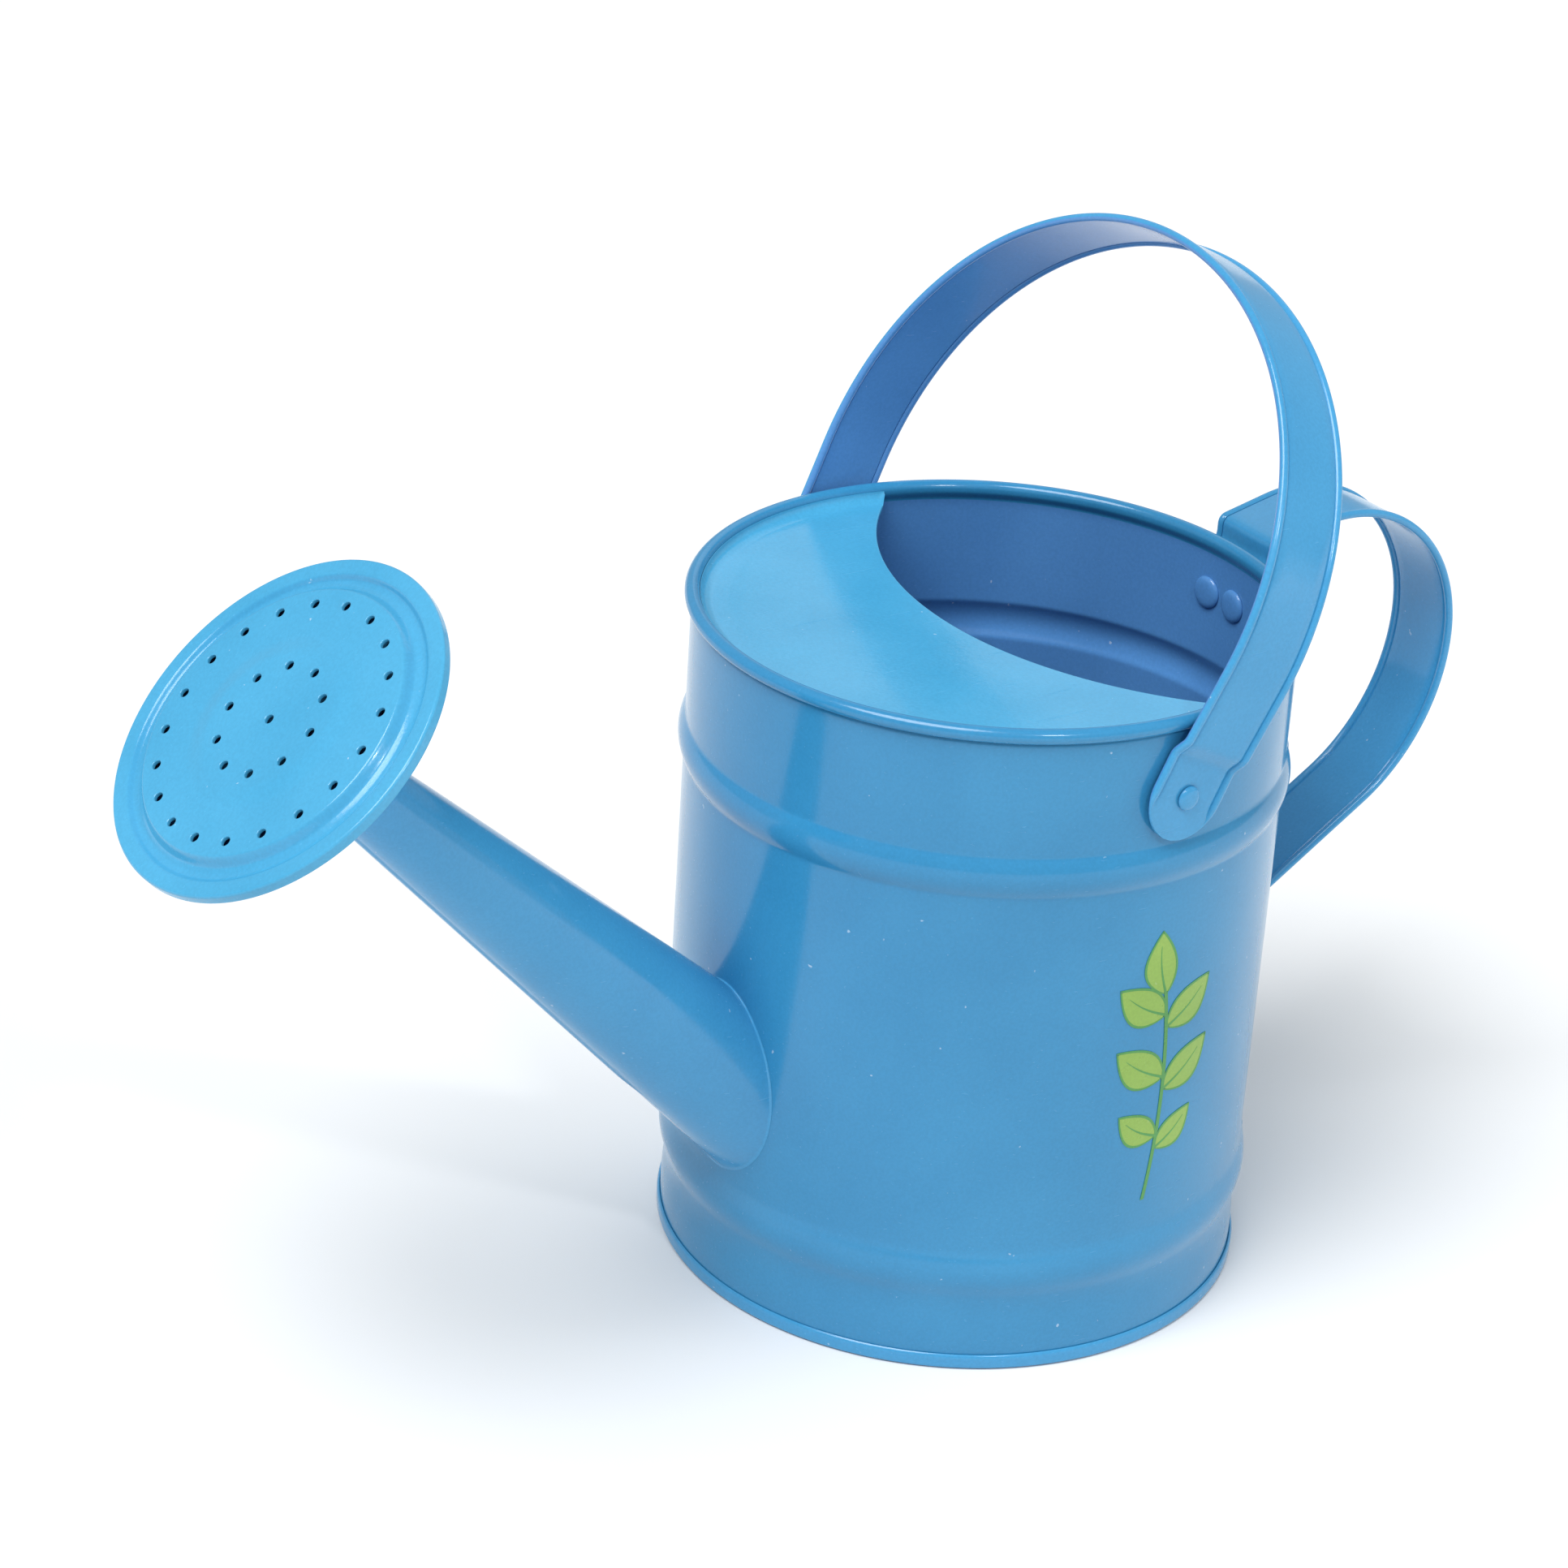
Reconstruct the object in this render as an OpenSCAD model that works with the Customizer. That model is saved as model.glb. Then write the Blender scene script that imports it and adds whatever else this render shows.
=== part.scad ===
// Child's painted sheet-steel watering can.
// Units are millimetres. The origin is the centre of the foot, on the ground.
// +X points to the spout, -X to the rear handle, +Z up; the bail turns about the Y direction.

/* [Can body] */
// Outer radius of the cylinder wall
body_r = 63.4; // [60:0.1:66]
// Thickness of the body, cover, spout and rose sheet
sheet = 0.6; // [0.5:0.05:0.8]
// Height of the centre of the curled rim
rim_z = 147.4; // [142:0.1:152]
// Radius of the curled rim's section
rim_curl_r = 1.6; // [1.4:0.05:1.8]
// Heights of the two raised beads
bead_low_z = 22.6; // [20:0.1:26]
bead_high_z = 115.8; // [108:0.1:117]
// Half height of a bead, and how far it stands out
bead_half = 4.6; // [4:0.1:5]
bead_out = 1.4; // [1:0.1:1.6]
// Angle of the side seam round the body, and how wide its lap is
seam_angle = 150; // [140:1:165]
seam_width = 5; // [4:0.5:6]

/* [Foot] */
// Outer radius and height of the folded seam that the can stands on
foot_r = 64.1; // [64.1:0.1:65]
foot_h = 3.2; // [3:0.1:4]
// Height of the recessed bottom above the ground
base_lift = 3.6; // [3.2:0.1:5]

/* [Top cover] */
// Height of the cover's upper face
cover_z = 145.6; // [144:0.1:146]
// Radius of the hollow fillet between the cover and the rim
cover_fillet = 2.2; // [2:0.1:3]
// Radius of the cover's free edge, and where that edge crosses the middle
cover_edge_r = 78.7; // [70:0.1:90]
cover_edge_x = 12.2; // [5:0.1:20]
// Width of the hem folded under the free edge
cover_hem = 3; // [2:0.5:4]

/* [Spout] */
// Height of the spout's axis at the wall
spout_z = 53.8; // [50:0.1:58]
// Rise of the spout's axis
spout_rise = 44.3; // [42:0.1:46]
// Outer radius of the spout at the wall and at its tip, and its length
spout_root_r = 15.4; // [14:0.1:16.5]
spout_tip_r = 6.9; // [6.5:0.1:7.5]
spout_len = 137; // [130:0.5:140]
// Width and thickness of the solder flange round the spout's root
flange_w = 0.8; // [0.6:0.1:2]
flange_t = 0.6; // [0.5:0.1:1.2]

/* [Rose] */
// Outer radius of the rose and the rise of its axis
rose_r = 37.5; // [36.5:0.1:39]
rose_rise = 48.5; // [47:0.1:50]
// Distance along the spout's axis from the wall to the middle of the face
rose_at = 150.9; // [149:0.1:152]
// Depth of the cone behind the face
rose_depth = 12; // [11.5:0.1:12.5]
// Water holes: radius, radii of the two rings, holes in the inner ring, turn of the pattern
hole_r = 0.9; // [0.6:0.05:1.1]
ring_in_r = 12; // [10:0.1:13]
ring_out_r = 26.3; // [22:0.1:27]
ring_in_n = 10; // [6:1:12]
hole_turn = -4.9; // [-18:0.1:18]

/* [Straps] */
// Width over the rolled edges, thickness, and radius of a rolled edge
strap_w = 19; // [17:0.1:19.6]
strap_t = 0.8; // [0.6:0.05:1]
roll_r = 0.9; // [0.7:0.05:1]

/* [Carrying bail] */
// Height of the pivot
pivot_z = 131.1; // [131:0.1:133]
// Lean of the bail towards the rear handle
bail_lean = 27; // [0:1:35]
// Middle radius of the arch
arch_r = 67.9; // [67.7:0.1:68.6]
// Length of the flat tab above the pivot
bail_tab = 7; // [6:0.1:8]
// Outward lean of the legs
leg_flare = 3.9; // [3.7:0.1:4.2]
// Clear space between the wall and the rolled edges at the tabs
tab_gap = 0.35; // [0.3:0.05:0.4]

/* [Rear handle] */
// Height of the upper pair of rivets and of the top of the tab's straight part
upper_tab_z = 134.4; // [132:0.1:135]
// Step that carries the strap out round the rim
step_out = 4.75; // [4:0.05:5.5]
// Middle radii of the upper and the lower part of the loop
loop_top_r = 36.7; // [34:0.1:39]
loop_low_r = 42.1; // [40:0.1:45]
// Slope of the loop where it leaves the rim, and of its foot
loop_rise = 11.5; // [8:0.5:15]
foot_slope = 30.8; // [28:0.1:33]

/* [Rivets] */
// Shank and head radius of the bail's pivot rivets
pivot_r = 2; // [1.6:0.1:2.4]
pivot_head_r = 3.1; // [2.8:0.1:3.5]
// Running clearance round a pivot shank
run_fit = 0.05; // [0.02:0.01:0.08]
// Shank and head radius of the handle rivets, and half their spacing
rivet_r = 1.6; // [1.4:0.1:2]
rivet_head_r = 3.7; // [3.2:0.1:3.9]
rivet_half = 4.3; // [4.2:0.1:4.6]

/* [Decal] */
// Direction of the decal's middle round the body, and its height
decal_angle = 93; // [85:1:100]
decal_z = 68; // [60:0.5:72]
// Thickness of the printed film
film = 0.12; // [0.1:0.02:0.2]

/* [Hidden] */
$fn = 96;
fine = 32;                       // circle steps for small round sections
gap = 0.05;                      // air left between pieces that touch
eps = 0.01;                      // overlap inside one piece
tuck_slim = 0.01;                // how much slimmer a tucked step of a strap is
tuck_deep = 0.05;                // how far it goes into the steps beside it
inner_r = body_r - sheet;
curl_x = body_r - 0.1;
rim_top = rim_z + rim_curl_r;
bulge_r = (bead_half * bead_half + bead_out * bead_out) / (2 * bead_out);
edge_centre_x = cover_edge_x - cover_edge_r;
lip_r = curl_x - rim_curl_r - gap;
spout_taper = (spout_root_r - spout_tip_r) / spout_len;
tab_x = body_r + tab_gap + roll_r;
step_angle = 35;
step_bend = 3;
handle_x = body_r + gap + strap_t / 2;
handle_bend = 4;

// Piece to draw

paint = [0.27, 0.58, 0.80];
cover_paint = [0.33, 0.67, 0.87];
print_green = [0.50, 0.70, 0.30];

// ---------- can body ----------

module bead_section(z, grow) {
  intersection() {
    translate([body_r + bead_out - bulge_r, z]) circle(bulge_r + grow);
    translate([inner_r - eps, z - 10]) square([10, 20]);
  }
}

module wall_section() {
  difference() {
    union() {
      translate([inner_r, 0.8]) square([sheet, rim_z - rim_curl_r - 0.6]);
      for (z = [bead_low_z, bead_high_z]) bead_section(z, 0);
    }
    for (z = [bead_low_z, bead_high_z]) bead_section(z, -sheet);
  }
}

// The curl is open at its inner lower side, where the sheet's edge ends.
module curl_section() {
  translate([curl_x, rim_z])
    difference() {
      circle(rim_curl_r, $fn = fine);
      circle(rim_curl_r - sheet, $fn = fine);
      rotate(215) translate([0, -0.25]) square([3, 0.5]);
    }
}

module side_seam() {
  rotate(seam_angle)
    intersection() {
      rotate_extrude() translate([body_r - eps, bead_low_z + 5.5]) square([0.4, bead_high_z - bead_low_z - 11]);
      translate([0, -seam_width / 2, 0]) cube([body_r + 5, seam_width, rim_z]);
    }
}

module body_shell() {
  color(paint)
    difference() {
      union() {
        rotate_extrude() wall_section();
        rotate_extrude() curl_section();
        side_seam();
      }
      spout_bore();
      for (side = [-1, 1]) {
        pivot_place(side) translate([0, 0, -5]) cylinder(r = pivot_r + gap, h = 10, $fn = fine);
        for (z = [upper_rivet_z(), lower_rivet_z()])
          rivet_place(side, z) translate([0, 0, -5]) cylinder(r = rivet_r + gap, h = 10, $fn = fine);
      }
    }
}

// ---------- foot ----------

module base_section() {
  chuck = inner_r - gap;                 // inside of the wall
  fold = body_r + gap;                   // outside of the wall
  edge = (foot_r - fold) / 2;
  translate([0, base_lift]) square([chuck, sheet]);
  translate([chuck - sheet, 0]) square([sheet, base_lift + sheet]);
  translate([chuck - sheet, 0]) square([foot_r - 0.4 - chuck + sheet, sheet]);
  translate([foot_r - 0.4, 0.4]) circle(0.4, $fn = fine);
  translate([fold, 0.4]) square([foot_r - fold, foot_h - 0.4 - edge]);
  translate([fold + edge, foot_h - edge]) circle(edge, $fn = fine);
}

module base_plate() {
  color(paint) rotate_extrude() base_section();
}

// ---------- cover ----------

module cover_section() {
  flat = lip_r - sheet - cover_fillet;
  translate([0, cover_z - sheet]) square([flat, sheet]);
  intersection() {
    translate([flat, cover_z + cover_fillet])
      difference() {
        circle(cover_fillet + sheet, $fn = fine);
        circle(cover_fillet, $fn = fine);
      }
    translate([flat - eps, cover_z - sheet]) square([10, rim_z - cover_z + sheet]);
  }
}

module edge_cylinder(r) {
  translate([edge_centre_x, 0, cover_z - 10]) cylinder(r = r, h = 20);
}

module top_cover() {
  color(cover_paint) {
    difference() {
      rotate_extrude() cover_section();
      edge_cylinder(cover_edge_r);
    }
    intersection() {
      translate([0, 0, cover_z - 2 * sheet - eps])
        cylinder(r = lip_r - sheet - cover_fillet, h = sheet + 2 * eps);
      difference() {
        edge_cylinder(cover_edge_r + cover_hem);
        edge_cylinder(cover_edge_r);
      }
    }
  }
}

// ---------- spout ----------

// Local +Z runs along the spout from where its axis meets the wall.
module on_spout() {
  translate([body_r, 0, spout_z]) rotate([0, 90 - spout_rise, 0]) children();
}

module spout_cone(grow, from, to) {
  translate([0, 0, from])
    cylinder(h = to - from, r1 = spout_root_r - spout_taper * from + grow,
             r2 = spout_root_r - spout_taper * to + grow);
}

module spout_bore() {
  on_spout() spout_cone(-sheet, -30, 30);
}

module body_solid(r) {
  cylinder(r = r, h = rim_z);
}

module root_flange() {
  difference() {
    intersection() {
      on_spout() spout_cone(flange_w, -30, 30);
      body_solid(body_r + flange_t);
    }
    body_solid(body_r + gap);
    on_spout() spout_cone(-sheet, -31, 31);
  }
}

module spout_seam() {
  on_spout()
    difference() {
      intersection() {
        spout_cone(0.4, 22, spout_len - 12);
        translate([0, -2, 0]) cube([40, 4, spout_len]);
      }
      spout_cone(-sheet / 2, 0, spout_len);
    }
}

module spout_tube() {
  color(paint) {
    difference() {
      on_spout() spout_cone(0, -25, spout_len);
      on_spout() spout_cone(-sheet, -26, spout_len + 1);
      body_solid(body_r + gap);
    }
    root_flange();
    spout_seam();
  }
}

// ---------- rose ----------

// Local +Z is the rose's axis, pointing out of the face; z = 0 is the plain part of the face.
module on_rose() {
  translate([body_r + rose_at * cos(spout_rise), 0, spout_z + rose_at * sin(spout_rise)])
    rotate([0, 90 - rose_rise, 0]) children();
}

// Upper line of the pressed face, from the middle outwards: [radius, height]
face_line = [[0, 0.6], [15.5, 0.6], [18.5, 0], [29.3, 0], [30.5, -0.7], [31.4, -2.1],
             [32.3, -2.6], [33.3, -2.3], [34.3, -1.5], [rose_r - 0.6, -1.5]];

module rose_holes() {
  cylinder(r = hole_r, h = 6, center = true, $fn = fine);
  for (i = [0 : ring_in_n - 1])
    rotate(hole_turn + 18 + i * 360 / ring_in_n) translate([0, ring_in_r, 0])
      cylinder(r = hole_r, h = 6, center = true, $fn = fine);
  for (i = [0 : 2 * ring_in_n - 1])
    rotate(hole_turn + i * 180 / ring_in_n) translate([0, ring_out_r, 0])
      cylinder(r = hole_r, h = 6, center = true, $fn = fine);
}

module face_section() {
  n = len(face_line);
  polygon(concat([for (p = face_line) p - [0, sheet]], [for (i = [n - 1 : -1 : 0]) face_line[i]]));
  // hem, folded round the edge of the cone
  translate([rose_r - 0.6, -2]) circle(0.6, $fn = fine);
  translate([rose_r - 0.6, -3.4]) square([0.6, 1.4]);
  translate([rose_r - 2.2, -4]) square([1.7, 0.6]);
  translate([rose_r - 0.6, -3.4]) circle(0.6, $fn = fine);
}

module rose_face() {
  color(cover_paint)
    on_rose() difference() {
      rotate_extrude() face_section();
      rose_holes();
    }
}

module back_cone(shrink) {
  translate([0, 0, -rose_depth]) cylinder(h = rose_depth - 3.4, r1 = spout_tip_r + 1.4 - shrink,
                                          r2 = rose_r - 2.6 - shrink);
}

module rose_back() {
  color(paint)
    difference() {
      union() {
        on_rose() {
          back_cone(0);
          translate([0, 0, -3.4 - eps]) cylinder(h = 0.6 + eps, r = rose_r - 2.6);
          translate([0, 0, -2.8 - sheet + gap]) cylinder(h = sheet - gap, r = rose_r - 1.25);
        }
        on_spout() spout_cone(gap + sheet, spout_len - 8, rose_at - rose_depth + 1.5);
      }
      on_rose() {
        translate([0, 0, sheet]) back_cone(0.3);
        translate([0, 0, -3.4 + sheet - 2 * eps]) cylinder(h = 3, r = rose_r - 2.9);
      }
      on_spout() spout_cone(gap, spout_len - 9, rose_at - rose_depth + 3);
    }
}

// ---------- straps ----------

// Sheet with a rolled edge on each side; a slim one is tucked into the pieces beside it.
module strap_section(slim) {
  half = strap_w / 2 - roll_r;
  translate([slim - strap_t / 2, -half]) square([strap_t - 2 * slim, 2 * half]);
  for (side = [-1, 1]) translate([0, side * half]) circle(roll_r - slim, $fn = fine);
}

module strap_straight(length, slim, tuck) {
  translate([0, 0, -tuck]) linear_extrude(length + 2 * tuck) strap_section(slim);
}

// Bends towards +X for a positive angle.
module strap_bend(r, angle, slim, tuck) {
  more = tuck / r * 180 / PI;
  mirror([angle > 0 ? 1 : 0, 0, 0])
    translate([-r, 0, 0]) rotate([90, 0, 0]) rotate(-more)
      rotate_extrude(angle = abs(angle) + 2 * more) translate([r, 0]) strap_section(slim);
}

// A strap laid along +Z, width along Y: each step is [length, 0] or [bend radius, angle].
// Every second step is slim and tucked in, so that all of them join into one solid.
module strap_run(steps, i = 0) {
  if (i < len(steps)) {
    size = steps[i][0];
    angle = steps[i][1];
    slim = (i % 2) * tuck_slim;
    tuck = (i % 2) * tuck_deep;
    if (angle == 0) {
      strap_straight(size, slim, tuck);
      translate([0, 0, size]) strap_run(steps, i + 1);
    } else {
      strap_bend(size, angle, slim, tuck);
      translate([sign(angle) * size * (1 - cos(angle)), 0, size * sin(abs(angle))])
        rotate([0, angle, 0]) strap_run(steps, i + 1);
    }
  }
}

// Rounded end of a strap, below z = 0.
module tab_end() {
  intersection() {
    rotate([0, 90, 0]) translate([0, 0, tuck_slim - strap_t / 2])
      cylinder(r = strap_w / 2 - 0.2, h = strap_t - 2 * tuck_slim);
    translate([-5, -20, -20]) cube([10, 40, 20.5]);
  }
}

// ---------- carrying bail ----------

step_x = 2 * step_bend * (1 - cos(step_angle)) - step_bend * (1 - cos(leg_flare));
step_line = (2.1 - step_x) / sin(step_angle);
leg_line = (arch_r * cos(leg_flare) - tab_x - 2.1) / sin(leg_flare);
bail_steps = [[bail_tab, 0], [step_bend, step_angle], [step_line, 0],
              [step_bend, leg_flare - step_angle], [leg_line, 0],
              [arch_r, -180 - 2 * leg_flare],
              [leg_line, 0], [step_bend, leg_flare - step_angle], [step_line, 0],
              [step_bend, step_angle], [bail_tab, 0]];

module bail_handle() {
  color(paint)
    difference() {
      translate([0, 0, pivot_z]) rotate([0, -bail_lean, 0]) rotate(90) {
        translate([tab_x, 0, 0]) strap_run(bail_steps);
        for (side = [-1, 1]) translate([side * tab_x, 0, 0]) tab_end();
      }
      for (side = [-1, 1])
        pivot_place(side) translate([0, 0, -5]) cylinder(r = pivot_r + run_fit, h = 10, $fn = fine);
    }
}

// Local +Z points outwards along the pivot; z = 0 is the wall's outer face.
module pivot_place(side) {
  translate([0, side * body_r, pivot_z]) rotate([-side * 90, 0, 0]) children();
}

// Low dome standing on z = 0.
module dome(r, h) {
  ball = (r * r + h * h) / (2 * h);
  intersection() {
    translate([0, 0, h - ball]) sphere(ball);
    cylinder(r = r, h = h);
  }
}

module pivot_rivet(side) {
  head_z = tab_gap + roll_r + strap_t / 2 + 0.3;
  color(paint) pivot_place(side) {
    translate([0, 0, -sheet - 0.9]) cylinder(r = pivot_r, h = head_z + sheet + 1, $fn = fine);
    translate([0, 0, head_z]) dome(pivot_head_r, 1.2);
    translate([0, 0, -sheet - 0.1]) mirror([0, 0, 1]) dome(pivot_head_r - 0.3, 0.9);
  }
}

module bail_rivet_left() { pivot_rivet(1); }
module bail_rivet_right() { pivot_rivet(-1); }

// ---------- rear handle ----------

rise_bend = 1.5;
rise_line = 1.63;
slope_line = 11.13;
step_run_x = step_out - 2 * handle_bend * (1 - cos(40));
loop_start_x = handle_x + step_out + rise_bend * (1 - cos(90 - loop_rise)) + slope_line * cos(loop_rise);
loop_end_x = loop_start_x + loop_top_r * (1 + sin(loop_rise)) - loop_low_r * (1 - sin(foot_slope));
foot_line = (loop_end_x - handle_x - handle_bend * (1 - sin(foot_slope))) / cos(foot_slope);
handle_steps = [[4.5, 0], [handle_bend, 40], [step_run_x / sin(40), 0], [handle_bend, -40],
                [rise_line, 0], [rise_bend, 90 - loop_rise], [slope_line, 0],
                [loop_top_r, 90 + loop_rise], [loop_low_r, 90 - foot_slope],
                [foot_line / 2, 0], [foot_line / 2, 0],
                [handle_bend, foot_slope - 90], [8, 0]];

function loop_start_z() = upper_tab_z + 4.5 + 2 * handle_bend * sin(40) + step_run_x / tan(40)
  + rise_line + rise_bend * cos(loop_rise) + slope_line * sin(loop_rise);
function lower_rivet_z() = loop_start_z() - loop_top_r * cos(loop_rise)
  - loop_low_r * cos(foot_slope) - foot_line * sin(foot_slope)
  - handle_bend * cos(foot_slope) - 8;
function upper_rivet_z() = upper_tab_z + 1.2;

module rear_handle() {
  color(paint)
    difference() {
      rotate(180) union() {
        translate([handle_x, 0, upper_tab_z]) {
          strap_run(handle_steps);
          tab_end();
        }
        translate([handle_x, 0, lower_rivet_z()]) tab_end();
      }
      for (side = [-1, 1], z = [upper_rivet_z(), lower_rivet_z()])
        rivet_place(side, z) translate([0, 0, -5]) cylinder(r = rivet_r + gap, h = 10, $fn = fine);
    }
}

// Local +Z points outwards through the rear wall; z = 0 is the wall's inner face.
module rivet_place(side, z) {
  rotate(180 - side * asin(rivet_half / inner_r)) translate([inner_r, 0, z]) rotate([0, 90, 0]) children();
}

// The broad head is inside the can; the closed end lies on the strap.
module handle_rivet(side, z) {
  tail_z = sheet + strap_t + 0.5;
  color(paint) rivet_place(side, z) {
    translate([0, 0, -1]) cylinder(r = rivet_r, h = tail_z + 1.2, $fn = fine);
    translate([0, 0, -0.15]) mirror([0, 0, 1]) dome(rivet_head_r, 1.1);
    translate([0, 0, tail_z]) dome(rivet_r + 1, 0.8);
  }
}

module upper_rivet_left() { handle_rivet(1, upper_rivet_z()); }
module upper_rivet_right() { handle_rivet(-1, upper_rivet_z()); }
module lower_rivet_left() { handle_rivet(1, lower_rivet_z()); }
module lower_rivet_right() { handle_rivet(-1, lower_rivet_z()); }

// ---------- decal ----------

// A leaf: two arcs that meet at its ends, standing on the origin.
module leaf(length, width) {
  r = (length * length + width * width) / (4 * width);
  translate([0, length / 2]) intersection() {
    translate([r - width / 2, 0]) circle(r);
    translate([width / 2 - r, 0]) circle(r);
  }
}

// The stem is an arc of radius 150 through the origin's column.
function stem_x(y) = 150 - sqrt(150 * 150 - (y + 6) * (y + 6));

module sprig() {
  translate([150, -6]) intersection() {
    difference() {
      circle(150.7, $fn = 180);
      circle(149.3, $fn = 180);
    }
    translate([-160, -26]) square([20, 50]);
  }
  translate([stem_x(17), 17]) rotate(-9) leaf(16, 9);
  for (k = [[9, 15.5, 9.5], [-6, 16, 9.5], [-20, 13, 8]]) {
    translate([stem_x(k[0]), k[0]]) rotate(52) leaf(k[1], k[2]);
    translate([stem_x(k[0] + 3), k[0] + 3]) rotate(-56) leaf(k[1], k[2]);
  }
}

module leaf_decal() {
  color(print_green)
    rotate(decal_angle - 90)
      intersection() {
        translate([0, 0, decal_z]) rotate([90, 0, 0]) translate([0, 0, -body_r - 2])
          linear_extrude(10) sprig();
        difference() {
          translate([0, 0, 20]) cylinder(r = body_r + gap + film, h = 100);
          translate([0, 0, 19]) cylinder(r = body_r + gap, h = 102);
        }
      }
}

body_shell();
base_plate();
top_cover();
spout_tube();
rose_face();
rose_back();
bail_handle();
bail_rivet_left();
bail_rivet_right();
rear_handle();
upper_rivet_left();
upper_rivet_right();
lower_rivet_left();
lower_rivet_right();
leaf_decal();
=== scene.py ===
import math

import bmesh
import bpy
import numpy as np
from mathutils import Matrix, Vector
from mathutils.geometry import delaunay_2d_cdt


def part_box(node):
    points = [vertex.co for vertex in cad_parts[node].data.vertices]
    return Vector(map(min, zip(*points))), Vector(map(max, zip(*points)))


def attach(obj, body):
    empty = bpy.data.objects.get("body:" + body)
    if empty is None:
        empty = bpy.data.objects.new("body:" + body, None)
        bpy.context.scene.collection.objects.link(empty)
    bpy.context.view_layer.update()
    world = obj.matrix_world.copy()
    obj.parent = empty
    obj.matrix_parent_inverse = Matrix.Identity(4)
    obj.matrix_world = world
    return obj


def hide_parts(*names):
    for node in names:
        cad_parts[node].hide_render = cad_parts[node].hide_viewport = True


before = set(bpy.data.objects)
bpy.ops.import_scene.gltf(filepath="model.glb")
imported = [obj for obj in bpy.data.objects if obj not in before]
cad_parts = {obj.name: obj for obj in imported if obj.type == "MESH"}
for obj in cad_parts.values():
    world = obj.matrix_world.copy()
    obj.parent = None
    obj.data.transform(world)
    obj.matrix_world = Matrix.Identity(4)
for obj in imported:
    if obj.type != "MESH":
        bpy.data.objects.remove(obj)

# Sizes below are in millimetres, as in the part's source; meshes are scaled to metres when made.
MM = 0.001
SHEET = 0.6                      # body, cover, spout and rose
WALL_R = 63.4
RIM_Z, RIM_X, RIM_R = 147.4, 63.3, 1.6
PIVOT_Z = 131.1
LEAN = math.radians(27.0)        # bail's rest angle, towards the rear handle
SPOUT_Z, SPOUT_RISE = 53.8, math.radians(44.3)
SPOUT_R0, SPOUT_R1, SPOUT_LEN = 15.4, 6.9, 137.0
ROSE_AT, ROSE_RISE, ROSE_R, ROSE_DEPTH = 150.9, math.radians(48.5), 37.5, 12.0
STRAP_W, STRAP_T, ROLL_R = 19.0, 0.8, 0.9
PIVOT_SHANK, REAR_SHANK = 2.0, 1.6

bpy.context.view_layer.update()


# ---------------------------------------------------------------- mesh helpers

def shade_smooth(mesh, sharp):
    """Smooth shading, broken at edges sharper than this many degrees."""
    for face in mesh.polygons:
        face.use_smooth = True
    mesh.set_sharp_from_angle(angle=math.radians(sharp))


def make_object(name, verts, faces, material, sharp=35, extra_materials=(), face_mats=None):
    """A mesh object from millimetre coordinates; face_mats holds each face's material number."""
    mesh = bpy.data.meshes.new(name)
    mesh.from_pydata([Vector(v) * MM for v in verts], [], faces)
    if face_mats:
        mesh.polygons.foreach_set("material_index", face_mats)
    bm = bmesh.new()
    bm.from_mesh(mesh)
    bmesh.ops.remove_doubles(bm, verts=bm.verts, dist=2e-6)
    bmesh.ops.dissolve_degenerate(bm, edges=bm.edges, dist=1e-6)
    bmesh.ops.recalc_face_normals(bm, faces=bm.faces)
    bm.to_mesh(mesh)
    bm.free()
    shade_smooth(mesh, sharp)
    obj = bpy.data.objects.new(name, mesh)
    bpy.context.scene.collection.objects.link(obj)
    for m in (material, *extra_materials):
        mesh.materials.append(m)
    return obj


def second_material(obj, test):
    """Gives a piece's second material to the faces that pass the test."""
    for face in obj.data.polygons:
        if test(face):
            face.material_index = 1


def grid_faces(rows, cols, close_rows=False, close_cols=False, start=0):
    """Quads of a grid of rows x cols vertices stored row by row."""
    faces = []
    for i in range(rows if close_rows else rows - 1):
        for j in range(cols if close_cols else cols - 1):
            a, b = i * cols + j, i * cols + (j + 1) % cols
            c, d = ((i + 1) % rows) * cols + (j + 1) % cols, ((i + 1) % rows) * cols + j
            faces.append(tuple(start + k for k in (a, b, c, d)))
    return faces


def lathe(profile, steps=192, place=Matrix.Identity(4), closed=True):
    """Vertices and faces of a profile of (radius, height) turned round local Z."""
    verts = []
    for k in range(steps):
        a = 2 * math.pi * k / steps
        verts += [place @ Vector((r * math.cos(a), r * math.sin(a), z)) for r, z in profile]
    return verts, grid_faces(steps, len(profile), close_rows=True, close_cols=closed)


def join(*parts):
    """Several (verts, faces) as one."""
    verts, faces = [], []
    for v, f in parts:
        n = len(verts)
        verts += list(v)
        faces += [tuple(n + i for i in face) for face in f]
    return verts, faces


def arc(cx, cy, r, a0, a1, n):
    """Points on an arc, angles in degrees."""
    return [(cx + r * math.cos(math.radians(a0 + (a1 - a0) * i / n)),
             cy + r * math.sin(math.radians(a0 + (a1 - a0) * i / n))) for i in range(n + 1)]


def ribbon(line, thickness):
    """Closed outline of a sheet that follows a 2D line, with rounded ends."""
    p = np.array(line, float)
    t = np.gradient(p, axis=0)
    t /= np.linalg.norm(t, axis=1)[:, None]
    n = np.c_[-t[:, 1], t[:, 0]] * thickness / 2
    left, right = p + n, (p - n)[::-1]

    def cap(centre, direction, side):
        return [tuple(centre + direction * thickness / 2 * math.sin(a) + side * math.cos(a))
                for a in (math.pi / 4, math.pi / 2, 3 * math.pi / 4)]

    return ([tuple(q) for q in left] + cap(p[-1], t[-1], n[-1])
            + [tuple(q) for q in right] + cap(p[0], -t[0], -n[0]))


def smooth_step(x):
    x = min(1.0, max(0.0, x))
    return x * x * (3 - 2 * x)


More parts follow.
